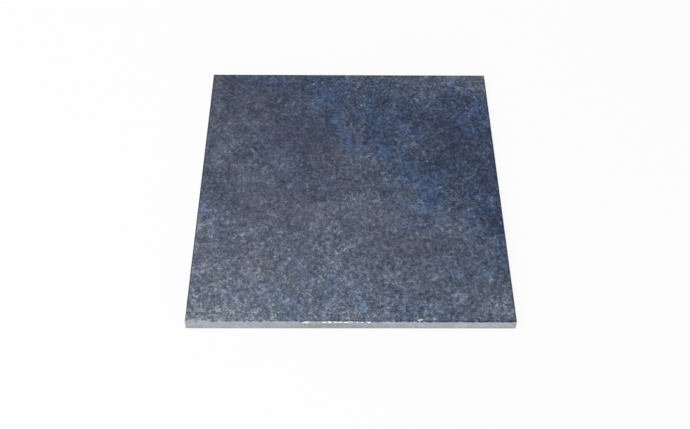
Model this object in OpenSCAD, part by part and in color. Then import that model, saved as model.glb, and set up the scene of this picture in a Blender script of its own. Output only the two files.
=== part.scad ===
// Square glazed stoneware tile, dry-pressed and fired as one piece.
// It lies on its back: the bed plane is z = 0, the glazed face is on top,
// and the origin is at the middle of the bed plane. X and Y run along the edges.

/* [Tile] */
// Width along X, at the foot of the sides
tile_w = 200; // [100:1:450]
// Length along Y, at the foot of the sides
tile_l = 200; // [100:1:450]
// Thickness from the bed plane to the glazed face
tile_t = 8.5; // [6:0.1:20]

/* [Edges] */
// Radius of the rounded arris that the glaze runs over
arris_r = 1; // [0.3:0.1:2.5]
// How far each side leans in from its foot to the glazed face, so that the tile leaves its die
side_lean = 0.6; // [0:0.05:1]
// Width and height of the bevel below the foot of the sides
foot_bevel = 0.4; // [0.1:0.1:1.5]
// Radius of the round between two sides at a corner
corner_r = 0.6; // [0.5:0.1:6]

/* [Back] */
// Depth of the pockets that the adhesive keys into
key_depth = 0.7; // [0.3:0.1:1.5]
// Distance from one rib of the back to the next
key_pitch = 18; // [10:0.5:40]
// Width of the ribs between the pockets
rib_w = 3; // [1.5:0.1:6]
// Least width of the plain rim around the pockets
rim_w = 10; // [7:0.5:20]
// Radius of the corners of each pocket
pocket_r = 1.5; // [0.5:0.1:2]

/* [Hidden] */
$fn = 96;
GLAZE_BLUE = "#525A6C";
lean_angle = atan(side_lean / (tile_t - foot_bevel));
arc_z = tile_t - arris_r;
// How far the centre of the arris's arc is in from the foot of the side
arc_inset = side_lean * (arc_z - foot_bevel) / (tile_t - foot_bevel) + arris_r / cos(lean_angle);
// Half the angle between the two sides that meet at a corner, and how far their common line tilts
corner_half = (180 - acos(pow(sin(lean_angle), 2))) / 2;
corner_tilt = atan(sqrt(2) * side_lean / (tile_t - foot_bevel));
// How far two faces run past each other where they meet, so that they cross and don't only touch
tuck = 0.001;
// How far a cutting shape runs past the faces that it meets
past = 1;

// A rectangle with round corners, centred
module round_rectangle(w, l, r) {
    square([w - 2 * r, l], center = true);
    square([w, l - 2 * r], center = true);
    for (x = [-1, 1], y = [-1, 1])
        translate([x * (w / 2 - r), y * (l / 2 - r)]) circle(r);
}

// The section of what is cut away along an edge, with x = 0 at the foot of the side and the
// tile to the left. From the bed up it leaves the bevel, the leaning side and the arris, whose
// arc touches the side and the glazed face, so that it meets both without a crease.
module waste_section() {
    side_r = arris_r - tuck;
    difference() {
        polygon([
            [-foot_bevel - past, -past],
            [-foot_bevel, 0],
            [0, foot_bevel],
            [-arc_inset + side_r * cos(lean_angle), arc_z + side_r * sin(lean_angle)],
            [-arc_inset, tile_t],
            [-arc_inset, tile_t + past],
            [past, tile_t + past],
            [past, -past]
        ]);
        translate([-arc_inset, arc_z]) circle(arris_r);
    }
}

// The waste along the two edges that lie at x = -width / 2 and x = width / 2
module edge_waste(width, run) {
    for (side = [0, 1]) mirror([side, 0, 0]) translate([width / 2, 0, 0])
        rotate([90, 0, 0]) linear_extrude(run + 2 * past, center = true) waste_section();
}

// The waste along the corner at x = width / 2, y = length / 2: what lies between the two sides
// and a round that touches both. Its section is square to the line that the sides meet in.
module corner_waste(width, length) {
    centre = (corner_r - tuck) / sin(corner_half);
    half_turn = 90 - corner_half;
    translate([width / 2, length / 2, foot_bevel]) rotate([0, -corner_tilt, 45])
        translate([0, 0, -foot_bevel - past]) linear_extrude(tile_t + 2 * past) difference() {
            polygon([
                [-centre, 0],
                [-centre + (corner_r + past) * cos(half_turn), -(corner_r + past) * sin(half_turn)],
                [corner_r + past, 0],
                [-centre + (corner_r + past) * cos(half_turn), (corner_r + past) * sin(half_turn)]
            ]);
            translate([-centre, 0]) circle(corner_r);
        }
}

// The number of pockets along a side is even, so that a rib crosses the middle of the back.
function pocket_count(side) = 2 * floor((side - 2 * rim_w + rib_w) / (2 * key_pitch));

// The pockets of the back, in rows that leave ribs between them and a rim around them
module key_pockets() {
    across = pocket_count(tile_w);
    along = pocket_count(tile_l);
    translate([0, 0, -past]) linear_extrude(key_depth + past)
        for (i = [0 : across - 1], j = [0 : along - 1])
            translate([(i - (across - 1) / 2) * key_pitch, (j - (along - 1) / 2) * key_pitch])
                round_rectangle(key_pitch - rib_w, key_pitch - rib_w, pocket_r);
}

// One fired piece: a slab shaped along its four edges, rounded at its corners and keyed on the back
module tile() {
    color(GLAZE_BLUE) difference() {
        translate([-tile_w / 2, -tile_l / 2, 0]) cube([tile_w, tile_l, tile_t]);
        edge_waste(tile_w, tile_l);
        rotate([0, 0, 90]) edge_waste(tile_l, tile_w);
        for (turn = [0, 1]) rotate([0, 0, 180 * turn]) {
            corner_waste(tile_w, tile_l);
            rotate([0, 0, 90]) corner_waste(tile_l, tile_w);
        }
        key_pockets();
    }
}

tile();
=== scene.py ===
# %% [markdown]
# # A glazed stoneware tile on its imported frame
#
# The tile is one fired piece: a dry-pressed slab of pale stoneware, and a coat of reactive glaze that melted
# over its top and round its upper edge. The CAD model holds its exact size, its arris and the key pockets of
# its back. What is left for this script is what the kiln did: the soft relief of the glaze, its ragged lower
# lip, its clouds of slate and cobalt, and the grain of the bare body. The frame comes first, because the
# tile's size is read from it.

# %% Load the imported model
import math

import bpy
import numpy as np
from mathutils import Matrix, Vector


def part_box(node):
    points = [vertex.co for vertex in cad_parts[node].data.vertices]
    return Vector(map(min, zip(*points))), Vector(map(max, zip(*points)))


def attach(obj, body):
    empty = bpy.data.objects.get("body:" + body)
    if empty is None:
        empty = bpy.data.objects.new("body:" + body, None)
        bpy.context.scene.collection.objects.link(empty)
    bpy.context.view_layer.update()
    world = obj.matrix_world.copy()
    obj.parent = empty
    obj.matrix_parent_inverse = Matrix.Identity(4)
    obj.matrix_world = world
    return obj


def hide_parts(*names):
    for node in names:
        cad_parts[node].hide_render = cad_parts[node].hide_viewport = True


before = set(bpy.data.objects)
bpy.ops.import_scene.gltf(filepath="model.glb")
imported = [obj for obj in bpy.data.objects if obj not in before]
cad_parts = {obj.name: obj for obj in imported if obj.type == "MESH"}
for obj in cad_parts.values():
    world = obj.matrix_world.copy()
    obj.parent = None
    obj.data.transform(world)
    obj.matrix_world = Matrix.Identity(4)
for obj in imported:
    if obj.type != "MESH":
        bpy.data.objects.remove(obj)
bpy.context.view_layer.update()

# %% Sizes that the section of the tile is drawn from, in millimetres
MM = 0.001
high_corner = np.array(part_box("tile")[1]) / MM
HALF = high_corner[0]  # half the side of the tile
THICK = high_corner[2]  # underside to glazed face
ARRIS = 1.0  # radius of the upper edge
LEAN = 0.6  # how far a side leans in between the foot bevel and the glazed face
BEVEL = 0.4  # small bevel at the foot
CORNER = 0.6  # radius of the four corners in plan
REACH = 2.0  # width of the border that the levels of the edge are drawn in
INNER = HALF - REACH  # half the side of the square that every level lies outside of
KEY_PITCH, KEY_RIB, KEY_DEPTH, KEY_CORNER = 18.0, 3.0, 0.7, 1.5  # the pockets of the back
KEY_COUNT = 10  # pockets along a side
lean_angle = math.atan(LEAN / (THICK - BEVEL))
arc_height = THICK - ARRIS
arc_inset = LEAN * (arc_height - BEVEL) / (THICK - BEVEL) + ARRIS / math.cos(lean_angle)
print(f"side {2 * HALF:.1f}, thickness {THICK:.2f}, arris centre {arc_inset:.3f} in from the foot")

# %% [markdown]
# ## Soft noise and soft spots
#
# A glaze is liquid in the kiln, so its relief and its clouds have no sharp steps. A sum of plane waves with
# about the same wavelength and random directions gives such a surface from one short formula, and it has a
# value at any point, so it runs on over the edge without a seam. Where the cobalt settled is a matter of this
# one tile, so its places are streaks listed one by one, as a decorator would lay them with a brush.


# %% Waves for relief, streaks for colour
def waves(places, length, seed, count=28):
    """Sum of count cosines over the plan position: each has a random direction, a random start, and a
    wavelength from 0.7 to 1.4 times the given one. Divided by the root of half the count, so that its spread
    is about 1."""
    random = np.random.default_rng(seed)
    turn = random.uniform(0, 2 * math.pi, count)
    number = 2 * math.pi / (length * random.uniform(0.7, 1.4, count))
    start = random.uniform(0, 2 * math.pi, count)
    directions = np.stack([np.cos(turn), np.sin(turn)]) * number
    return np.cos(places @ directions + start).sum(1) / math.sqrt(count / 2)


def streaks(places, strokes):
    """Each stroke is x and y of its two ends, its radius and its strength. Its value falls as
    exp(-(distance to the stroke / radius) squared), and where strokes overlap the strongest counts."""
    total = np.zeros(len(places))
    for x1, y1, x2, y2, radius, strength in strokes:
        first, run = np.array([x1, y1]), np.array([x2 - x1, y2 - y1])
        along = np.clip((places - first) @ run / max(run @ run, 1e-9), 0, 1)
        distance = np.linalg.norm(places - first - along[:, None] * run, axis=1)
        total = np.maximum(total, strength * np.exp(-((distance / radius) ** 2)))
    return total


def smooth_step(value):
    """0 below 0, 1 above 1, and 3v^2 - 2v^3 between."""
    value = np.clip(value, 0, 1)
    return value * value * (3 - 2 * value)


trial = np.random.default_rng(1).uniform(-HALF, HALF, (5000, 2))
print(f"waves 5 mm long have a spread of {waves(trial, 5.0, 2).std():.2f}")

# %% [markdown]
# ## The path round the tile
#
# Every level of the edge, from the top of the arris to the foot, is a rounded square drawn a little larger or
# smaller. So one closed path is enough: points on an inner square, each with a vector to the foot of the
# side. A level with a certain inset lies at point + vector * (REACH - inset). At the corners the points stay
# put and the vectors fan out, so the corners open by themselves.

# %% The closed path, counterclockwise from above
EDGE_STEP = 0.5  # fine enough for the ripples of the arris
ARC_STEPS = 6
straight_steps = round(2 * INNER / EDGE_STEP)


def closed_path():
    """For side k: points along the inner square with a unit vector out at -90 + 90 k degrees, then the
    corner, whose vectors follow a square with a corner radius of rounding = CORNER / REACH:
    (1 - rounding) * (out + onward) + rounding * (cos a out + sin a onward). Also each point's count of sides
    from the start."""
    points, vectors, counts = [], [], []
    straight = np.linspace(0, 1, straight_steps + 1)
    arc = np.linspace(0, math.pi / 2, ARC_STEPS + 1)[:, None]
    rounding = CORNER / REACH
    for side in range(4):
        heading = math.radians(-90 + 90 * side)
        out = np.array([math.cos(heading), math.sin(heading)])
        onward = np.array([-out[1], out[0]])
        fan = np.cos(arc) * out + np.sin(arc) * onward
        points.append(INNER * (out + (2 * straight[:, None] - 1) * onward))
        points.append(np.tile(INNER * (out + onward), (len(arc), 1)))
        vectors.append(np.tile(out, (len(straight), 1)))
        vectors.append((1 - rounding) * (out + onward) + rounding * fan)
        counts.append(side + straight)
        counts.append(np.full(len(arc), side + 1.0))
    return np.concatenate(points), np.concatenate(vectors), np.concatenate(counts)


path_points, path_out, path_count = closed_path()
around = len(path_points)
print(f"{around} points round the tile, every {EDGE_STEP} mm on the straights")

# %% [markdown]
# ## The section of the edge
#
# From the top: the glazed arris, a quarter round of 1 mm that the pressing die leaves and the glaze softens;
# the lip, where the melt ran about a quarter of a millimetre down the side and froze in a thin irregular
# bead; then the bare side, which leans in towards the top so that the slab leaves its die, and the small
# bevel at the foot. Here and there the melt gathered in a fatter bead, whose sloping top catches the light.
# A bevel modifier could round a box, but the lip has to wander along the edge, so each level is a row of
# insets and heights, one for each point of the path.

# %% Beads and one chip on the near edge: where each starts and ends along it, and its radius
BEADS = [
    (-28.9, -26.6, 0.9), (-25.9, -25.0, 0.8), (-16.9, -14.6, 0.9), (-13.8, -12.0, 0.8),
    (-10.6, -8.8, 0.9), (-7.3, -5.9, 0.8), (-4.2, -2.3, 0.9), (-0.6, 1.3, 0.9), (3.4, 4.9, 0.9),
    (6.5, 7.8, 0.8), (10.3, 11.5, 0.8), (13.4, 14.6, 0.8), (37.4, 38.9, 0.9),
]
CHIP_START, CHIP_END, CHIP_RADIUS = 40.2, 43.0, 0.6
edge_places = path_points + path_out * REACH
gathered = streaks(edge_places, [(start, -HALF, end, -HALF, radius, 1.0) for start, end, radius in BEADS])
dent = streaks(edge_places, [(CHIP_START, -HALF, CHIP_END, -HALF, CHIP_RADIUS, 1.0)])
print(f"{len(BEADS)} gathered beads, over {(gathered > 0.5).sum() * EDGE_STEP:.0f} mm of the edge")

# %% How the glaze wanders: each term is an amplitude in mm times waves of a given length
LIP_DROP, LEAST_DROP, MOST_DROP = 0.26, 0.04, 0.9  # how far the glaze reaches below the arris
LIP_BEAD, LEAST_BEAD, MOST_BEAD = 0.055, 0.015, 0.1  # how thick it is there
lip_drop = LIP_DROP + 0.12 * waves(edge_places, 9.0, 11) + 0.09 * waves(edge_places, 2.6, 12)
lip_drop = np.clip(lip_drop, LEAST_DROP, MOST_DROP)
lip_bead = np.clip(LIP_BEAD + 0.018 * waves(edge_places, 3.5, 13), LEAST_BEAD, MOST_BEAD)
arris_ripple = 0.024 * waves(edge_places, 4.8, 14) + 0.014 * waves(edge_places, 2.2, 15)
arris_ripple = arris_ripple * (1 - gathered)  # a gathered bead is taut and smooth
print(f"lip {lip_drop.min():.2f} to {lip_drop.max():.2f} below the arris, bead up to {lip_bead.max():.3f}")

# %% The levels, from the face down to the foot
ARRIS_STEPS = 12
DENT_DEPTH = 0.12
BEAD_TILT = math.radians(37)  # the top of a gathered bead slopes as the arris does at this angle
LIP_SHAPE = [(0.45, 1.1), (0.8, 1.0), (0.95, 0.65), (1.0, 0.1)]  # share of the drop, share of the bead
BARE_SHARES = (0.04, 0.35, 0.7, 0.97)  # levels of the bare side, from the lip to the foot
SIDE_ROUGH, MOST_ROUGH = 0.012, 0.04  # how far the pressed side is pitted
FOOT_INSET = 0.02  # keeps the foot's edge just inside the part
FOOT_SHARES = (0.15, 0.575, 1.0)  # levels of the bevel


def side_inset(height):
    """How far in the bare side stands at a height: none at the top of the bevel, LEAN at the glazed face."""
    return LEAN * (height - BEVEL) / (THICK - BEVEL)


def bead_top(angle):
    """How far a gathered bead stands out from the arris: below BEAD_TILT its top is the arris's tangent
    there, which lies radius * (1 / cos(angle - tilt) - 1) outside the round."""
    return ARRIS * gathered * (1 / math.cos(min(angle - BEAD_TILT, 0)) - 1)


def edge_levels():
    """Rows of inset and height for the glazed part and for the bare part. On the arris the point at angle a
    lies at centre + radius * (cos a, sin a). The ripple and the chip only take glaze away and the beads stay
    behind the foot, so nothing leaves the CAD box."""
    glazed, bare = [], []
    for angle in np.linspace(math.pi / 2, lean_angle, ARRIS_STEPS):
        worn_away = (1 - math.sin(angle)) * (arris_ripple.max() - arris_ripple)
        radius = ARRIS + bead_top(angle) - worn_away - DENT_DEPTH * dent * math.sin(2 * angle)
        swell = lip_bead * math.cos(angle) ** 2
        height = arc_height + radius * math.sin(angle)
        glazed.append((arc_inset - (radius + swell) * math.cos(angle), height))
    for share, thickness in LIP_SHAPE:
        height = arc_height - share * lip_drop
        glazed.append((side_inset(height) - thickness * (lip_bead + bead_top(lean_angle)), height))
    rough = np.clip(SIDE_ROUGH * (1 + waves(edge_places, 2.2, 16)), 0, MOST_ROUGH)
    start = arc_height - lip_drop
    for share in BARE_SHARES:
        height = start + share * (BEVEL - start)
        bare.append((side_inset(height) + rough, height))
    bare.append((np.full(around, FOOT_INSET), np.full(around, BEVEL)))
    for share in FOOT_SHARES:
        bare.append((np.full(around, share * BEVEL), np.full(around, (1 - share) * BEVEL)))
    return glazed, bare


glazed_levels, bare_levels = edge_levels()
levels = glazed_levels + bare_levels
level_inset = np.stack([np.broadcast_to(inset, around) for inset, _ in levels])
level_height = np.stack([np.broadcast_to(height, around) for _, height in levels])
ring_xy = path_points + (REACH - level_inset)[:, :, None] * path_out
ring_points = np.concatenate([ring_xy, level_height[:, :, None]], 2)
print(f"{len(glazed_levels)} glazed and {len(bare_levels)} bare levels")

# %% [markdown]
# ## The glazed face and the keyed back
#
# The face is nearly flat. A reactive glaze pools and crawls, and its skin carries a relief of a few
# hundredths of a millimetre, which is what makes reflections swim. The face is a height over a square grid:
# the CAD height less a small depth, so that it stays inside the part. The back is a grid too, with its lines
# crowded where the walls of the key pockets stand, and its height comes from the distance to a rounded square
# that repeats with the pitch.

# %% The glazed face as a height field
FACE_STEP = 1.0
FACE_DEPTH, MOST_DEPTH = 0.04, 0.12  # how far the fired glaze lies below the CAD's face
FACE_RIM = 6  # width of the border where the relief dies away towards the arris


def square_grid(lines):
    """Plan position of every crossing of the same lines along x and along y, row by row."""
    across, up = np.meshgrid(lines, lines)
    return np.stack([across.ravel(), up.ravel()], 1)


face_lines = np.linspace(-INNER, INNER, round(2 * INNER / FACE_STEP) + 1)
face_xy = square_grid(face_lines)
pooling = 0.012 * waves(face_xy, 34.0, 21) + 0.007 * waves(face_xy, 11.0, 22)
curdle = 0.004 * waves(face_xy, 4.2, 23, count=60)
from_rim = smooth_step((INNER - np.abs(face_xy).max(1)) / FACE_RIM)
face_depth = from_rim * np.clip(FACE_DEPTH + pooling + curdle, 0, MOST_DEPTH)
face_points = np.column_stack([face_xy, THICK - face_depth])
print(f"{len(face_xy)} points on the face, relief up to {face_depth.max():.3f} mm")

# %% The back, with its key pockets
WALL_START, WALL_WIDTH = -0.12, 0.26  # a pocket's wall, from just outside its edge inwards
PRESS_DEPTH, PRESS_WANDER, MOST_PRESS = 0.02, 0.012, 0.06  # faint marks of the press
BACK_RIM = 3  # width of the border where the marks die away
pocket_side = KEY_PITCH - KEY_RIB
pocket_middles = (np.arange(KEY_COUNT) - (KEY_COUNT - 1) / 2) * KEY_PITCH
wall_offsets = np.array([-0.4, WALL_START, WALL_START + WALL_WIDTH, 0.45, 1.1])  # a pocket's grid lines


def back_lines():
    """Lines at the two ends, and on each side of every pocket at the wall offsets, with one through its
    middle."""
    half_side = pocket_side / 2
    near_walls = np.concatenate([wall_offsets - half_side, [0], half_side - wall_offsets[::-1]])
    inner = (pocket_middles[:, None] + near_walls).ravel()
    ends = np.linspace(INNER, inner.max(), 4)[:-1]
    return np.sort(np.concatenate([-ends, inner, ends]))


def pocket_depth(places):
    """Distance to a square with rounded corners, which repeats with the pitch, then a smooth step from its
    edge over the draft of the wall, times the depth. Outside the outermost pockets there is none."""
    nearest = np.abs(places[:, :, None] - pocket_middles).argmin(2)
    local = np.abs(places - pocket_middles[nearest]) - (pocket_side / 2 - KEY_CORNER)
    outside = np.linalg.norm(np.maximum(local, 0), axis=1)
    inside = np.minimum(local.max(1), 0)
    distance = KEY_CORNER - outside - inside
    return KEY_DEPTH * smooth_step((distance - WALL_START) / WALL_WIDTH)


back_xy = square_grid(back_lines())
press_marks = np.clip(PRESS_DEPTH + PRESS_WANDER * waves(back_xy, 14.0, 31), 0, MOST_PRESS)
back_flat = smooth_step((INNER - np.abs(back_xy).max(1)) / BACK_RIM)
back_height = pocket_depth(back_xy) + back_flat * press_marks
back_points = np.column_stack([back_xy, back_height])
print(f"{len(back_xy)} points on the back, pockets {pocket_depth(back_xy).max():.2f} mm deep")

# %% [markdown]
# ## One closed skin
#
# The face, the levels of the edge and the back have to meet without a gap. Two neighbouring levels have the
# same number of points, so quads join them. A grid's border has fewer points than the path, so a row of
# triangles is zipped between them: walking along both at once, each step forward on either one adds a
# triangle.


# %% Faces between rows and round grids
def grid_faces(side_count, first):
    """A quad for every cell, counterclockwise from above, with vertex numbers starting at first."""
    steps = np.arange(side_count - 1)
    corner = (steps[:, None] * side_count + steps).ravel() + first
    return np.stack([corner, corner + 1, corner + side_count + 1, corner + side_count], 1)


def grid_border(side_count, first):
    """The border's vertex numbers, counterclockwise from the near left corner."""
    run = np.arange(side_count - 1)
    last = side_count - 1
    near, right = run, last + run * side_count
    far, left = side_count * last + last - run, side_count * (last - run)
    return np.concatenate([near, right, far, left]) + first


def zipped(outer, outer_count, inner, inner_count):
    """Triangles between two closed rows. Both rows' steps are sorted by where their middles lie; a step on
    the outer row makes a triangle with the inner point reached so far, and the other way round."""
    outer, inner = np.append(outer, outer[0]), np.append(inner, inner[0])
    outer_count, inner_count = np.append(outer_count, 4.0), np.append(inner_count, 4.0)
    middles = [(count[1:] + count[:-1]) / 2 for count in (outer_count, inner_count)]
    order = np.argsort(np.concatenate(middles), kind="stable")
    on_outer = order < len(middles[0])
    outer_at = np.cumsum(on_outer) - on_outer
    inner_at = np.cumsum(~on_outer) - ~on_outer
    next_outer = outer[np.minimum(outer_at + 1, len(outer) - 1)]
    next_inner = inner[np.minimum(inner_at + 1, len(inner) - 1)]
    step_out = np.stack([outer[outer_at], next_outer, inner[inner_at]], 1)
    step_in = np.stack([outer[outer_at], next_inner, inner[inner_at]], 1)
    return np.where(on_outer[:, None], step_out, step_in)


def level_faces(upper, lower, first):
    """A quad between each pair of neighbouring points of two levels, facing out."""
    here = np.arange(around)
    following = (here + 1) % around
    top, bottom = first + upper * around, first + lower * around
    return np.stack([top + here, bottom + here, bottom + following, top + following], 1)


small = grid_faces(3, 0), grid_border(3, 0)
print("a grid of 3 by 3 points has", len(small[0]), "cells and", len(small[1]), "points round it")

# %% Put the skin together
face_side, back_side = len(face_lines), round(math.sqrt(len(back_xy)))
first_ring = len(face_points)
first_back = first_ring + len(levels) * around
last_glazed, last_side = len(glazed_levels) - 1, len(levels) - 1 - len(FOOT_SHARES)
skin_points = np.concatenate([face_points, ring_points.reshape(-1, 3), back_points])


def border_count(border):
    """Count of sides from the near left corner for points on the border of the inner square."""
    x, y = skin_points[border, :2].T / INNER
    side = np.floor(np.arange(len(border)) * 4 / len(border))
    along = np.choose(side.astype(int), [x, y, -x, -y])
    return side + (along + 1) / 2


ring_numbers = first_ring + np.arange(len(levels) * around).reshape(len(levels), around)
face_border = grid_border(face_side, 0)
back_border = grid_border(back_side, first_back)
glaze_patches = [grid_faces(face_side, 0)]
glaze_patches += [zipped(ring_numbers[0], path_count, face_border, border_count(face_border))]
glaze_patches += [level_faces(k, k + 1, first_ring) for k in range(last_glazed)]
side_patches = [level_faces(k, k + 1, first_ring) for k in range(last_glazed, last_side)]
foot_patches = [level_faces(k, k + 1, first_ring) for k in range(last_side, len(levels) - 1)]
foot_patches += [zipped(ring_numbers[-1], path_count, back_border, border_count(back_border))[:, ::-1]]
foot_patches += [grid_faces(back_side, first_back)[:, ::-1]]
print("faces:", *(sum(map(len, patches)) for patches in (glaze_patches, side_patches, foot_patches)))

# %% [markdown]
# ## Where each patch lies on its map
#
# The finishes are patterns in space, and to paint them on flat maps the skin needs a fair unfolding. The
# glaze keeps its own square with the arris and lip folded flat round it, so no seam crosses it; the four bare
# sides are strips below, and the back with its bevel is a smaller square beside it.

# %% Unfold the skin
TOP_SHARE, BACK_SHARE, STRIP_HEIGHT = 0.71, 0.27, 0.046  # shares of the map's side
GAP = 0.008  # between the pieces of the map
GLAZE_REACH = HALF + 2.4  # half the side of the glaze's square, with its edge folded out
BACK_REACH = HALF + 0.4  # half the side of the back's square
inset_steps = np.linalg.norm(np.diff(ring_points, axis=0), axis=2)
unrolled = np.concatenate([np.zeros((1, around)), np.cumsum(inset_steps, 0)])  # mm down from the face
flat_ring = path_points + (REACH - arc_inset + unrolled)[:, :, None] * path_out
glaze_flat = np.concatenate([face_xy, flat_ring.reshape(-1, 2), back_xy])
run_along = np.linalg.norm(np.diff(np.vstack([edge_places, edge_places[:1]]), axis=0), axis=1)
run_along = np.concatenate([[0], np.cumsum(run_along)])
side_points, side_length = around // 4, run_along[-1] / 4


def square_map(places, reach, corner_x, corner_y, share):
    """Turns plan positions of +-reach mm into a square of the map with the given lower left corner and
    side."""
    return np.array([corner_x, corner_y]) + (places / reach + 1) / 2 * share


def strip_map(faces):
    """A side's strip: length along the path and height, for the quads of one patch."""
    here = np.arange(around)
    side = np.minimum(here // side_points, 3)
    run = np.stack([run_along[here], run_along[here], run_along[here + 1], run_along[here + 1]], 1)
    along = run - run_along[side * side_points][:, None]
    across = GAP + along / side_length * TOP_SHARE
    up = GAP + side[:, None] * (STRIP_HEIGHT + 2 * GAP) + skin_points[faces, 2] / THICK * STRIP_HEIGHT
    return np.stack([across, up], 2)


top_corner = GAP, 1 - GAP - TOP_SHARE
back_corner = 1 - GAP - BACK_SHARE, 1 - GAP - BACK_SHARE
plan = skin_points[:, :2]
glaze_maps = [square_map(glaze_flat[p], GLAZE_REACH, *top_corner, TOP_SHARE) for p in glaze_patches]
side_maps = [strip_map(p) for p in side_patches]
foot_maps = [square_map(plan[p], BACK_REACH, *back_corner, BACK_SHARE) for p in foot_patches]
print(f"the whole map would be {2 * GLAZE_REACH / TOP_SHARE:.0f} mm of glaze on a side")

# %% [markdown]
# ## What the kiln did, place by place
#
# Reactive glazes get their clouds from oxides that wander in the melt. Ten soft values on the skin say where
# this tile has more of each: cobalt blooms, a thin blue wash, dark ink where the coat is thick, pale ash that
# curdled, with painted sheen along the near edge, and the umber that iron gave it. One says where the melt
# stayed calm and even. On the edge they say where the coat broke thin over the arris, where the chip is,
# painted paler as a glint, where the bare body is stained, and where the edge begins. The shader breaks them
# up with fine noise, so a coarse value at each point is enough.

# %% Strokes of each oxide: ends, radius and strength, in mm from the middle of the tile
COBALT = [
    # far right quarter, where the band is thickest
    (16, 84, 17, 80, 5, 0.9), (24, 80, 22, 78, 4, 0.7), (13, 68, 16, 62, 6, 0.8),
    (36, 80, 42, 72, 6, 0.8), (53, 96, 54, 92, 5, 0.9), (58, 84, 57, 80, 4, 0.7),
    (28, 56, 34, 52, 5, 0.7), (12, 58, 20, 50, 6, 0.7), (11, 46, 13, 36, 5, 0.8),
    (22, 48, 24, 42, 5, 0.6), (40, 46, 47, 40, 6, 1.0), (34, 34, 39, 31, 5, 1.0),
    (20, 28, 28, 31, 5, 1.0), (14, 34, 16, 30, 4, 0.6), (52, 27, 53, 22, 4, 0.9),
    (37, 22, 37, 10, 5, 0.7), (40, 4, 56, 6, 7, 0.8), (65, 8, 66, 6, 4, 0.8), (64, 19, 71, 17, 4, 0.5),
    (82, 4, 83, 0, 3, 0.7), (77, 57, 78, 52, 6, 1.0), (72, 94, 78, 86, 6, 0.8), (90, 86, 93, 74, 5, 1.0),
    (90, 68, 90, 62, 5, 0.9), (93, 56, 94, 52, 5, 0.8), (54, 46, 53, 44, 4, 0.7),
    (60, 70, 60, 66, 4, 0.7), (49, 66, 52, 62, 4, 0.6),
    # far left quarter
    (-62, 96, -48, 96, 5, 0.9), (-52, 86, -55, 84, 4, 0.6), (-32, 96, -24, 94, 5, 0.8),
    (-46, 82, -40, 74, 5, 0.6), (-25, 88, -24, 84, 4, 0.7), (-10, 96, -6, 92, 6, 1.0),
    (-12, 78, -9, 66, 6, 0.9), (-18, 70, -14, 66, 5, 0.9), (-7, 62, -5, 48, 5, 1.0),
    (-2, 38, 3, 32, 7, 1.0), (-36, 88, -34, 82, 5, 0.5), (-42, 68, -40, 64, 5, 0.5),
    # near left quarter, faint and pale
    (-95, -20, -92, -26, 4, 0.74), (-88, -32, -88, -36, 4, 0.53), (-92, -52, -88, -58, 5, 0.53),
    (-66, -64, -64, -67, 4, 0.53), (-92, -70, -94, -76, 5, 0.53), (-86, -78, -84, -82, 4, 0.53),
    (-72, -78, -70, -84, 4, 0.42), (-56, -80, -54, -86, 5, 0.63), (-46, -76, -44, -82, 4, 0.53),
    (-38, -90, -36, -94, 5, 0.63), (-14, -76, -12, -82, 5, 0.63), (-3, -66, -2, -74, 5, 0.53),
    # near right quarter, the end of the band
    (48, -2, 56, -6, 6, 0.9), (52, -10, 58, -20, 7, 1.0), (60, -18, 62, -26, 4, 0.7),
    (42, -14, 46, -18, 5, 0.6), (30, -24, 34, -28, 4, 0.5), (43, -30, 45, -34, 4, 0.8),
    (86, -6, 86, -10, 4, 0.8), (88, -10, 92, -18, 5, 0.9), (79, -24, 82, -32, 4, 0.8),
    (92, -38, 94, -44, 4, 0.8), (92, -54, 94, -66, 4, 0.6), (66, -66, 70, -68, 5, 0.5),
    (83, -64, 86, -67, 4, 0.6), (5, -86, 4, -94, 5, 0.7), (33, -92, 34, -96, 4, 0.7),
    (62, -90, 66, -94, 4, 0.5),
]
WASH = [
    (-20, 90, 10, 40, 28, 0.9), (20, 70, 50, 6, 30, 1.0), (75, 60, 92, -20, 30, 1.0),
    (-70, 95, -30, 80, 18, 0.6), (-97, -10, -90, -40, 14, 0.45), (-60, -90, 0, -80, 22, 0.45),
    (-45, 20, -25, -10, 22, 0.5), (-30, -45, 10, -70, 22, 0.35), (70, -45, 95, -65, 24, 0.6),
    (10, -88, 60, -92, 16, 0.4), (48, -25, 54, -30, 16, 0.5), (-92, 15, -90, 5, 10, 0.3),
]
INK = [
    (26, 66, 36, 60, 14, 0.62), (45, 60, 66, 52, 16, 0.72), (66, 50, 97, 44, 16, 0.8),
    (62, 28, 97, 8, 24, 0.9), (38, 16, 44, 10, 8, 0.6), (60, -8, 80, -14, 12, 0.8),
    (88, -4, 94, -30, 14, 0.7), (96, -40, 98, -70, 10, 0.4), (-97, 94, -32, 88, 26, 0.45),
    (-58, 84, -42, 60, 18, 0.45), (-16, 58, -14, 34, 12, 0.55), (-40, 48, -20, 20, 20, 0.5),
    (10, 52, 22, 34, 11, 0.8), (-97, 4, -84, -4, 12, 0.35), (70, 74, 80, 70, 10, 0.5),
    (-80, -12, -60, -16, 12, 0.3), (28, 94, 44, 66, 14, 0.6), (-98, 92, -98, 44, 4, 0.3),
]
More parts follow.
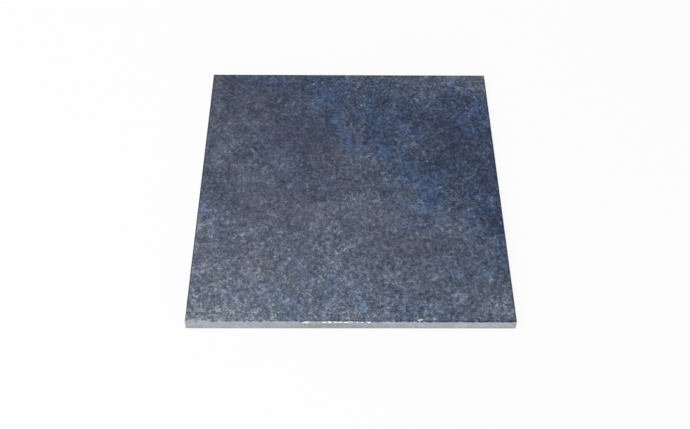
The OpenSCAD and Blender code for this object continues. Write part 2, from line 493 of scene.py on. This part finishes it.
# pale ash that curdled, and painted sheen: the broad strokes along the near edge make the face lighter
# towards its near side
ASH_AND_SHEEN = [
    (-97, -95, -50, -97, 24, 1.15), (-85, -70, 0, -75, 32, 0.5), (-97, -32, -80, -60, 16, 0.5),
    (-97, -97, 97, -97, 24, 0.85), (10, -50, 60, -60, 30, 0.2), (55, 94, 97, 96, 14, 0.5),
    (-90, 20, -76, 10, 18, 0.38), (-60, 12, -50, 14, 8, 0.2), (4, 22, 12, 12, 12, 0.15),
    (12, -4, 14, -24, 12, 0.4), (56, -34, 66, -32, 10, 0.4), (-4, 97, 48, 97, 4, 0.3),
    (-20, -35, 0, -48, 14, 0.4), (-20, 8, 0, 10, 12, 0.3), (-12, -30, -10, -95, 15, 0.9),
    (-94, -34, -88, -90, 18, 0.9), (30, -90, 95, -84, 16, 0.55), (90, -52, 94, -72, 13, 0.65),
    (60, -12, 66, -16, 12, 0.5), (-70, -38, -52, -46, 16, 0.68),
]
UMBER = [
    (86, 97, 97, 88, 12, 0.6), (44, 35, 51, 28, 8, 0.85), (2, 52, 8, 44, 7, 0.8),
    (8, 20, 14, 10, 12, 0.5), (-34, -20, -18, -26, 12, 0.6), (14, -10, 16, -26, 12, 0.5),
    (36, -40, 48, -44, 14, 0.45), (28, 86, 36, 90, 8, 0.5), (-90, 64, -60, 76, 24, 0.35),
    (-20, 28, -8, 24, 10, 0.7), (-60, -8, -46, -14, 14, 0.45), (62, -24, 66, -36, 12, 0.6),
    (0, -56, 40, -62, 16, 0.35), (74, -78, 90, -84, 14, 0.4), (60, 76, 66, 90, 8, 0.5),
    (72, -12, 78, -16, 8, 0.6), (-94, -94, -64, -95, 9, 0.72), (-90, -62, -80, -72, 9, 0.72),
    (-60, -60, -50, -70, 12, 0.62), (-96, -34, -96, -50, 6, 0.7), (-98, 96, -97, 44, 5, 0.9),
]
CALM = [
    (-85, 88, -20, 30, 34, 0.9), (-92, 40, -60, -8, 26, 0.6), (-45, -12, -25, -25, 18, 0.8),
    (60, 40, 90, 10, 20, 0.3), (20, -34, 84, -74, 34, 0.6),
]

print(sum(map(len, (COBALT, WASH, INK, ASH_AND_SHEEN, UMBER, CALM))), "strokes on the face")

# %% Strokes along the edge, on the glaze's unfolded square
RIM = HALF + 1.0  # a line along the lower part of the arris
NEAR_WORN = [  # along the near edge, start, end and radius of where the coat broke thin
    (-86, -72, 1.76), (-72, -36, 1.98), (-36, -12, 1.74), (-12, 0, 1.48),
    (0, 20, 1.15), (20, 36, 1.6), (36, 60, 1.5), (60, 99, 1.33),
]
BREAKING = [(start, -RIM, end, -RIM, radius, 1.3) for start, end, radius in NEAR_WORN]
BREAKING += [(-99, -RIM, -86, -RIM, 3.4, 0.9), (-99, -99, -99, -90, 2, 0.4)]  # round the near left corner
BREAKING += [(RIM, -98, RIM, 98, 1.1, 1.3), (-RIM, -80, -RIM, 98, 1.1, 1.3), (-98, RIM, 98, RIM, 1.1, 1.3)]
# the chip shows the bare body, painted paler than the body is as a painted glint
CHIP_WITH_GLINT = [(CHIP_START, -98.5, CHIP_END, -97.8, CHIP_RADIUS, 1.0)]
STAIN = [
    (-24, -104, 6, -106, 9, 0.9), (104, -30, 106, 10, 10, 0.6), (-60, 104, -20, 106, 9, 0.7),
    (-105, 40, -105, 70, 10, 0.5),
]
print(len(BREAKING + CHIP_WITH_GLINT + STAIN), "strokes along the edge")

# %% Their values on the skin
SPILL = 3.0  # mm that the strokes wander in the melt
EDGE_START, EDGE_WIDTH = 0.7, 1.6  # the edge's own value: how far inside the arris it starts, and its rise
spill = SPILL * np.stack([waves(glaze_flat, 16.0, 41), waves(glaze_flat, 16.0, 42)], 1)
oxides = {"cobalt": COBALT, "wash": WASH, "ink": INK, "ash_and_sheen": ASH_AND_SHEEN, "umber": UMBER, "calm": CALM}
skin_values = {name: streaks(glaze_flat + spill, strokes) for name, strokes in oxides.items()}
for name, strokes in {"breaking": BREAKING, "chip": CHIP_WITH_GLINT, "stain": STAIN}.items():
    skin_values[name] = streaks(glaze_flat, strokes)
from_arris = np.abs(glaze_flat).max(1) - (HALF - arc_inset - EDGE_START)
skin_values["edge"] = smooth_step(from_arris / EDGE_WIDTH)
print({name: round(float(value.mean()), 3) for name, value in skin_values.items()})

# %% [markdown]
# ## Colours and nodes
#
# Colours are written as a colour picker shows them. Blender works in linear light, so one function turns
# them. One more function adds a node with its settings and its inputs, and a patterned finish is a chain of
# such calls. Three kinds of node come back all the time. Math with Multiply Add makes a weighted sum. Map
# Range with a smooth step makes a soft-edged mask of it. Mix lays one colour over another through a mask.


# %% One colour, one node, one new finish
def colour(code):
    """sRGB hex to linear light: a channel c is c / 12.92 up to 0.04045, else ((c + 0.055) / 1.055) ^ 2.4."""
    channels = [int(code[k : k + 2], 16) / 255 for k in (1, 3, 5)]
    return (*(c / 12.92 if c <= 0.04045 else ((c + 0.055) / 1.055) ** 2.4 for c in channels), 1.0)


def add(tree, kind, settings=None, inputs=None):
    """Adds one node. Settings are its own fields; an input is a value, or a node whose first output it
    takes, or an output socket."""
    made = tree.nodes.new("ShaderNode" + kind)
    for field, value in (settings or {}).items():
        setattr(made, field, value)
    for key, value in (inputs or {}).items():
        if isinstance(value, bpy.types.Node):
            value = value.outputs[0]
        if isinstance(value, bpy.types.NodeSocket):
            tree.links.new(value, made.inputs[key])
        else:
            made.inputs[key].default_value = value
    return made


def new_finish(name):
    """An empty material with its shader and its output, and the Object coordinates that its patterns are
    laid in."""
    material = bpy.data.materials.new(name)
    material.use_nodes = True
    tree = material.node_tree
    tree.nodes.clear()
    shader = add(tree, "BsdfPrincipled")
    add(tree, "OutputMaterial", inputs={"Surface": shader})
    place = add(tree, "TexCoord").outputs["Object"]
    return material, tree, shader, place


SUM = {"operation": "MULTIPLY_ADD"}  # input 0 times input 1, plus input 2
SMOOTH = {"interpolation_type": "SMOOTHSTEP"}
OVER = {"data_type": "RGBA"}  # input 7 over input 6 through the mask in input 0; output 2 is the colour
print("mid grey is", round(colour("#808080")[0], 3), "in linear light")

# %% [markdown]
# ## Reactive glaze
#
# A lime-alkali stoneware glaze, sprayed in two coats and fired glossy to satin. Its IOR is that of glass,
# 1.52. The eye sees slate grey with fine pale curds 2 to 3 mm across, softer clouds of 7 and 26 mm, cobalt
# blooms with ragged edges, and dark ink where the coat is thick. Round the arris it turns navy, and where it
# broke thin the pale body shows through. The scales below are the real sizes of those marks.
#
# It could be one long chain of nodes. It is written as tables instead, in the order in which a glaze is
# judged: the patterns, the sums of patterns, the masks stepped from the sums, and the colours that are laid
# over one another through the masks.

# %% Patterns of the glaze: the largest marks in mm, the detail of the noise and its roughness
CURRENTS = (17.0, 2, 0.5)  # slow currents in the melt
DRIFT = 6.0  # how far in mm they carry a mark
CARRIED = {
    "cloud": (26.0, 2, 0.5),
    "mottle": (7.0, 4, 0.62),
    "curd": (2.3, 2, 0.55),
    "torn": (5.2, 5, 0.72),  # the ragged outline of a bloom
    "verdigris": (9.0, 3, 0.6),  # faint green from the copper in the ash
}
STILL = {
    "grain": (0.9, 1, 0.5),
    "peel": (3.2, 2, 0.5),  # the orange peel of the surface
}
print("marks in mm:", {name: size for name, (size, *_) in {**CARRIED, **STILL}.items()})

# %% Sums of the glaze: a start, then values and their weights; a name is a pattern or an earlier sum
GLAZE_SUMS = {
    # how pale the melt is, from 0 to 1, evened out towards its middle where it stayed calm, and paler where
    # the ash lies, which also paints sheen towards the near edge
    "clouds": (0.245, ("mottle", 0.18), ("cloud", 0.26)),
    "to_middle": (0.465, ("clouds", -1.0)),
    "evening": (0.0, ("calm", 0.4)),
    "ash_and_sheen_weight": (0.06, ("mottle", 0.18)),
    "depth": ("clouds", ("to_middle", "evening"), ("ash_and_sheen", "ash_and_sheen_weight"), ("ink", -0.17)),
    # curds and grain on top of that, fewer in the calm places and in the blooms
    "speckle": (-1.16, ("mottle", 0.44), ("grain", 0.88), ("curd", 1.0)),
    "contrast": (0.9, ("ash_and_sheen", 0.17), ("calm", -0.35)),
    "tone": ("depth", ("speckle", "contrast")),
    "bloom_tone": (0.03, ("depth", 1.0), ("speckle", 0.7)),
    # what the masks are stepped from
    "hazy": (-1.05, ("calm", -0.3), ("mottle", 2.2), ("wash", 0.75)),
    "most_haze": (0.85, ("calm", -0.3)),
    "ragged": (-2.25, ("torn", 3.2), ("grain", 0.4), ("curd", 0.9)),
    "blue": ("ragged", ("cobalt", 0.85)),
    "brown": ("ragged", ("umber", 0.75)),
    "green": (-1.65, ("verdigris", 3.6), ("ash_and_sheen", 0.3)),
    "round_edge": ("edge", ("curd", 0.5)),
    "thin": ("breaking", ("grain", 0.8), ("curd", 1.5)),
    "missing": ("chip", ("grain", 0.6)),
    # roughness and relief: curds scatter the reflection, and the glaze is glossiest round the edge
    "roughness": (0.16, ("curd", 0.25), ("mottle", 0.12), ("edge", -0.2)),
    "relief": (0.0, ("curd", 0.5), ("peel", 0.6)),
}
print(len(GLAZE_SUMS), "sums of", len(CARRIED) + len(STILL), "patterns and the values on the skin")

# %% Masks of the glaze: the sum, where its smooth step starts and ends, and the most that it covers
GLAZE_MASKS = {
    "hazed": ("hazy", 0.0, 0.9, "most_haze"),
    "bloomed": ("blue", 0.15, 1.05, 0.95),
    "browned": ("brown", 0.1, 1.2, 0.5),
    "greened": ("green", 0.0, 1.0, 1.0),
    "rounded": ("round_edge", 0.55, 1.1, 0.8),
    "worn": ("thin", 1.4, 1.9, 0.8),
    # the chip's mask also lays its painted glint
    "chipped_with_glint": ("missing", 0.75, 1.05, 1.0),
}
print("masks:", *GLAZE_MASKS)

# %% Colours of the glaze: three ramps from dark to pale, and the layers from the bottom up
RAMPS = {
    "slate": [(0.0, "#0C1222"), (0.3, "#2B344B"), (0.5, "#474F64"), (0.7, "#686F81"), (1.0, "#B2B5BB")],
    "washed": [(0.0, "#0A152A"), (0.3, "#24334F"), (0.5, "#3D4C69"), (0.7, "#5A6987"), (1.0, "#98A4B8")],
    "bloom": [(0.0, "#18264A"), (0.3, "#2A3E65"), (0.5, "#3F577F"), (0.7, "#5B739A"), (1.0, "#94A7C4")],
}
RAMP_TONES = {"slate": "tone", "washed": "tone", "bloom": "bloom_tone"}
UMBER_DARK, UMBER_PALE = "#22262C", "#9A9A97"
LAYERS = [  # the mask, how the layer is laid on, and its colour
    ("hazed", "MIX", "washed"),
    ("bloomed", "MIX", "bloom"),
    ("browned", "MIX", "umber"),
    ("greened", "MULTIPLY", "#F1FFF6"),
    ("rounded", "MIX", "#1A2338"),
    ("worn", "MIX", "#9BA2AB"),
    # the chip: bare body, painted paler than it is as a painted glint
    ("chipped_with_glint", "MIX", "#CDD1D4"),
]


def set_ramp(node, stops):
    """Gives a colour ramp its stops, position and hex colour, eased between, and returns its colour."""
    ramp = node.color_ramp
    ramp.interpolation = "EASE"
    while len(ramp.elements) < len(stops):
        ramp.elements.new(0.5)
    for element, (position, code) in zip(ramp.elements, stops):
        element.position = position
        element.color = colour(code)
    return node.outputs[0]


print("from the bottom up: slate,", ", ".join(mask for mask, *_ in LAYERS))


# %% The patterns on the skin
def glaze_patterns(tree, place):
    """Every value that the skin carries, and every noise, by name. The carried noises take their place from
    place + DRIFT * (the colour of a slow noise - 0.5)."""
    values = {}
    for name in ("cobalt", "wash", "ink", "ash_and_sheen", "umber", "calm", "breaking", "chip", "edge"):
        values[name] = add(tree, "Attribute", {"attribute_name": name}).outputs["Fac"]
    size, detail, roughness = CURRENTS
    currents = {"Vector": place, "Scale": 1 / (size * MM), "Detail": detail, "Roughness": roughness}
    drift = add(tree, "TexNoise", inputs=currents).outputs["Color"]
    drift = add(tree, "VectorMath", {"operation": "SUBTRACT"}, {0: drift, 1: (0.5, 0.5, 0.5)})
    drift = add(tree, "VectorMath", {"operation": "SCALE"}, {0: drift, "Scale": DRIFT * MM})
    melt = add(tree, "VectorMath", {"operation": "ADD"}, {0: place, 1: drift})
    for where, patterns in ((melt, CARRIED), (place, STILL)):
        for name, (size, detail, roughness) in patterns.items():
            marks = {"Vector": where, "Scale": 1 / (size * MM), "Detail": detail, "Roughness": roughness}
            values[name] = add(tree, "TexNoise", inputs=marks)
    return values


print("the currents carry a mark up to", DRIFT / 2, "mm each way")

# %% The glaze
PEEL_DEPTH, PEEL_STRENGTH = 0.05, 0.5  # mm that the bump stands for, and how much of it is felt
GLASS_IOR = 1.52


def reactive_glaze():
    """Follows the tables: a sum is start + value * weight for every pair, a mask is a smooth step of a sum,
    and a layer covers what is under it by its mask. In the tables a name is looked up among the values made
    so far, and a number stands for itself."""
    material, tree, shader, place = new_finish("reactive_glaze")
    values = glaze_patterns(tree, place)
    for name, (total, *terms) in GLAZE_SUMS.items():
        total = values.get(total, total)
        for value, weight in terms:
            total = add(tree, "Math", SUM, {0: values[value], 1: values.get(weight, weight), 2: total})
        values[name] = total
    for name, (value, start, end, most) in GLAZE_MASKS.items():
        limits = {"From Min": start, "From Max": end, "To Max": values.get(most, most)}
        values[name] = add(tree, "MapRange", SMOOTH, {"Value": values[value], **limits})

    coats = {}
    for name, tone in RAMP_TONES.items():
        coats[name] = set_ramp(add(tree, "ValToRGB", inputs={0: values[tone]}), RAMPS[name])
    umber = {0: values["tone"], 6: colour(UMBER_DARK), 7: colour(UMBER_PALE)}
    coats["umber"] = add(tree, "Mix", OVER, umber).outputs[2]
    coat = coats["slate"]
    for mask, blend, pigment in LAYERS:
        layer = {0: values[mask], 6: coat, 7: coats[pigment] if pigment in coats else colour(pigment)}
        coat = add(tree, "Mix", {**OVER, "blend_type": blend}, layer).outputs[2]

    bump = {"Strength": PEEL_STRENGTH, "Distance": PEEL_DEPTH * MM, "Height": values["relief"]}
    tree.links.new(coat, shader.inputs["Base Color"])
    tree.links.new(values["roughness"].outputs[0], shader.inputs["Roughness"])
    tree.links.new(add(tree, "Bump", inputs=bump).outputs[0], shader.inputs["Normal"])
    shader.inputs["IOR"].default_value = GLASS_IOR
    return material


glaze = reactive_glaze()
print(glaze.name, len(glaze.node_tree.nodes), "nodes")

# %% [markdown]
# ## Bare stoneware body
#
# Spray-dried clay granules, pressed dry and fired to a dense pale grey. The eye sees a matt, fine grain,
# faint yellow-brown specks of iron, and a cooler tint just under the glaze, where its alkalis soaked in.
# Towards the foot it is painted darker, as painted shade. The real granules are 0.3 mm; they are drawn at 1.4
# mm to show.
# The bands follow the height, so they need no map.

# %% Patterns, colours and covers of the body
BODY_MARKS = {  # the largest marks in mm, the detail of the noise and its roughness
    "granules": (1.4, 3, 0.7),
    "specks": (2.4, 3, 0.75),
    "patches": (9.0, 3, 0.6),
}
CLAY = [(0.25, "#7B7C7E"), (0.5, "#989DA2"), (0.75, "#B2B8BF")]
COVERS = [  # the value, where its straight step starts and ends, the most that it covers, and its colour
    ("specks", 0.5, 0.66, 0.6, "#9B947F"),  # iron
    ("height", 3.5 * MM, 7.5 * MM, 0.6, "#8E95A2"),  # soaked in from the glaze
    ("height", 6.0 * MM, BEVEL * MM, 0.5, "#7D7E80"),  # painted shade, darker towards the foot
]
GRANULE_DEPTH, GRANULE_STRENGTH = 0.06, 0.6  # mm that the bump stands for, and how much of it is felt
STONE_IOR = 1.5
print("clay from", CLAY[0][1], "to", CLAY[-1][1], "under", len(COVERS), "covers")


# %% The body
def bare_stoneware():
    """The clay's ramp is looked up at patches * 0.6 + granules - 0.3, less 0.16 where it is stained.
    Roughness is 0.68 + granules * 0.2. Each cover is laid over the clay by a straight step of its value."""
    material, tree, shader, place = new_finish("dry_pressed_stoneware")
    values = {"height": add(tree, "SeparateXYZ", inputs={0: place}).outputs[2]}
    for name, (size, detail, roughness) in BODY_MARKS.items():
        marks = {"Vector": place, "Scale": 1 / (size * MM), "Detail": detail, "Roughness": roughness}
        values[name] = add(tree, "TexNoise", inputs=marks)
    granules = values["granules"]
    stain = add(tree, "Attribute", {"attribute_name": "stain"}).outputs["Fac"]

    tone = add(tree, "Math", SUM, {0: values["patches"], 1: 0.6, 2: -0.3})
    tone = add(tree, "Math", SUM, {0: granules, 1: 1.0, 2: tone})
    tone = add(tree, "Math", SUM, {0: stain, 1: -0.16, 2: tone})
    clay = set_ramp(add(tree, "ValToRGB", inputs={0: tone}), CLAY)
    for name, start, end, most, code in COVERS:
        limits = {"Value": values[name], "From Min": start, "From Max": end, "To Max": most}
        cover = add(tree, "MapRange", inputs=limits)
        clay = add(tree, "Mix", OVER, {0: cover, 6: clay, 7: colour(code)}).outputs[2]

    roughness = add(tree, "Math", SUM, {0: granules, 1: 0.2, 2: 0.68})
    bump = {"Strength": GRANULE_STRENGTH, "Distance": GRANULE_DEPTH * MM, "Height": granules}
    tree.links.new(clay, shader.inputs["Base Color"])
    tree.links.new(roughness.outputs[0], shader.inputs["Roughness"])
    tree.links.new(add(tree, "Bump", inputs=bump).outputs[0], shader.inputs["Normal"])
    shader.inputs["IOR"].default_value = STONE_IOR
    return material


body_clay = bare_stoneware()
print(body_clay.name, len(body_clay.node_tree.nodes), "nodes")

# %% [markdown]
# ## The piece
#
# The arrays go into one mesh. It rides on the only body in place of the CAD solid, which is hidden, and takes
# the glaze and the bare body as its two finishes. Shading is smooth over the glaze, and an edge that turns by
# more than 40 degrees stays crisp.


# %% Make the mesh, hang it on the body, and hide the CAD solid that it replaces
def make_piece(name, points, patches, maps, materials):
    """One object at the origin: points in mm become metres, each patch carries its map and its material's
    number."""
    mesh = bpy.data.meshes.new(name)
    faces = [face for patch, _ in patches for face in patch.tolist()]
    mesh.from_pydata((points * MM).tolist(), [], faces)
    layer = mesh.uv_layers.new(name="OFBake")
    corners = np.concatenate([part.reshape(-1, 2) for part in maps])
    layer.data.foreach_set("uv", corners.ravel().astype(np.float32))
    numbers = np.concatenate([np.full(len(patch), number) for patch, number in patches])
    mesh.polygons.foreach_set("material_index", numbers.astype(np.int32))
    mesh.shade_smooth()
    mesh.set_sharp_from_angle(angle=math.radians(40))
    for material in materials:
        mesh.materials.append(material)
    piece = bpy.data.objects.new(name, mesh)
    bpy.context.scene.collection.objects.link(piece)
    return piece


patches = [(p, 0) for p in glaze_patches] + [(p, 1) for p in side_patches + foot_patches]
maps = glaze_maps + side_maps + foot_maps
tile = make_piece("fired_tile", skin_points, patches, maps, [glaze, body_clay])
for name, value in skin_values.items():
    attribute = tile.data.attributes.new(name, "FLOAT", "POINT")
    attribute.data.foreach_set("value", value.astype(np.float32))
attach(tile, "root")
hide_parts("tile")
tile.data.calc_loop_triangles()
print(tile.name, len(tile.data.loop_triangles), "triangles")

# %% [markdown]
# ## Floor, light and camera
#
# The floor is plain and pale, and the world is brighter at the horizon than overhead, like a white room with
# a dark ceiling: a glossy face seen from above then keeps its colour. A large soft box does most of the
# lighting, a second one, high up beyond the far left corner, gives the face its sheen, and a small low one in
# front catches the arris and the beads below it.

# %% The floor
FLOOR_REACH = 30.0  # metres from the middle to an edge
SWEEP = {"From Min": 0.6, "From Max": 3.0, "To Min": 0.9, "To Max": 1.0}  # metres out, share of white
PAINT, WHITE = "#F2F2F2", "#FFFFFF"


def pale_floor():
    """A flat square at the foot of the tile. What is seen of it is mostly a white of its own, and wholly so a
    few metres out, so that it reads as a white sweep and still keeps a soft shadow."""
    mesh = bpy.data.meshes.new("floor")
    signs = [(-1, -1), (1, -1), (1, 1), (-1, 1)]
    mesh.from_pydata([(FLOOR_REACH * x, FLOOR_REACH * y, 0.0) for x, y in signs], [], [(0, 1, 2, 3)])
    material = bpy.data.materials.new("floor_paint")
    material.use_nodes = True
    tree = material.node_tree
    tree.nodes.clear()
    paint = add(tree, "BsdfDiffuse", inputs={"Color": colour(PAINT)})
    white = add(tree, "Emission", inputs={"Color": colour(WHITE), "Strength": 1.0})
    rays = add(tree, "LightPath").outputs
    seen = add(tree, "Math", {"operation": "ADD"}, {0: rays["Is Camera Ray"], 1: rays["Is Glossy Ray"]})
    clamped = {"operation": "ADD", "use_clamp": True}
    seen = add(tree, "Math", clamped, {0: seen, 1: rays["Is Transmission Ray"]})
    place = add(tree, "TexCoord").outputs["Object"]
    distance = add(tree, "VectorMath", {"operation": "LENGTH"}, {0: place}).outputs["Value"]
    sweep = add(tree, "MapRange", inputs={"Value": distance, **SWEEP})
    share = add(tree, "Math", {"operation": "MULTIPLY"}, {0: seen, 1: sweep})
    both = add(tree, "MixShader", inputs={0: share, 1: paint, 2: white})
    add(tree, "OutputMaterial", inputs={"Surface": both})
    mesh.materials.append(material)
    floor = bpy.data.objects.new("floor", mesh)
    bpy.context.scene.collection.objects.link(floor)
    return floor


floor = pale_floor()
print(floor.name, "to", FLOOR_REACH, "m on each side")

# %% The room
CEILING = {"From Min": 0.22, "From Max": 0.42, "To Min": 1.0, "To Max": 0.36}  # upward part, brightness
world = bpy.data.worlds.new("pale_room")
bpy.context.scene.world = world
world.use_nodes = True
sky = world.node_tree
sky.nodes.clear()
upward = add(sky, "SeparateXYZ", inputs={0: add(sky, "TexCoord").outputs["Generated"]}).outputs[2]
brightness = add(sky, "MapRange", SMOOTH, {"Value": upward, **CEILING})
background = add(sky, "Background", inputs={"Color": colour(WHITE), "Strength": brightness})
add(sky, "OutputWorld", inputs={0: background})
print("room from", CEILING["To Min"], "at the horizon to", CEILING["To Max"], "overhead")


# %% Three soft boxes
def soft_box(name, place, target, width, depth, radiance):
    """A lamp that faces its target, all in metres. Its power is pi * radiance * width * depth, so that its
    brightness is the radiance."""
    data = bpy.data.lights.new(name, "AREA")
    data.shape = "RECTANGLE"
    data.size, data.size_y = width, depth
    data.energy = math.pi * radiance * width * depth
    lamp = bpy.data.objects.new(name, data)
    bpy.context.scene.collection.objects.link(lamp)
    lamp.location = place
    lamp.rotation_euler = (Vector(place) - Vector(target)).to_track_quat("Z", "Y").to_euler()
    lamp.visible_camera = False
    return lamp


near_arris = (0, -HALF * MM, 0)
lamps = [
    soft_box("key_box", (-0.9, -1.3, 1.7), (0, 0, 0), width=1.6, depth=1.6, radiance=3.4),
    soft_box("sheen_box", (-0.42, 0.3, 1.2), (-0.42, 0.3, 0), width=0.95, depth=0.8, radiance=1.5),
    soft_box("arris_box", (0.0, -2.0, 0.34), near_arris, width=0.24, depth=0.16, radiance=85.0),
]
print("power in watts:", {lamp.name: round(lamp.data.energy, 1) for lamp in lamps})


# %% The camera
def stand_camera(place, yaw, pitch, roll, lens):
    """Rolled about its own axis, tipped up from straight down by 90 degrees - pitch, then turned about Z by
    -yaw."""
    data = bpy.data.cameras.new("camera")
    data.lens = lens
    data.sensor_width = 36.0
    data.clip_start, data.clip_end = 0.01, 100.0
    camera = bpy.data.objects.new("camera", data)
    bpy.context.scene.collection.objects.link(camera)
    tip = Matrix.Rotation(math.pi / 2 - pitch, 4, "X")
    turn = Matrix.Rotation(-yaw, 4, "Z") @ tip @ Matrix.Rotation(roll, 4, "Z")
    camera.matrix_world = Matrix.Translation(place) @ turn
    return camera


STAND = (-0.0079, -0.2995, 0.4358)  # metres: over the tile's front, a little left of its middle
LENS = 40.84  # mm, on the 36 mm sensor
pitch, yaw, roll = math.radians(57.1), math.radians(0.93), math.radians(0.9)
camera = stand_camera(STAND, yaw, pitch, roll, LENS)
bpy.context.scene.camera = camera
bpy.context.scene.view_settings.view_transform = "Standard"
print("camera looks down by", round(math.degrees(pitch), 1), "degrees, from", STAND)
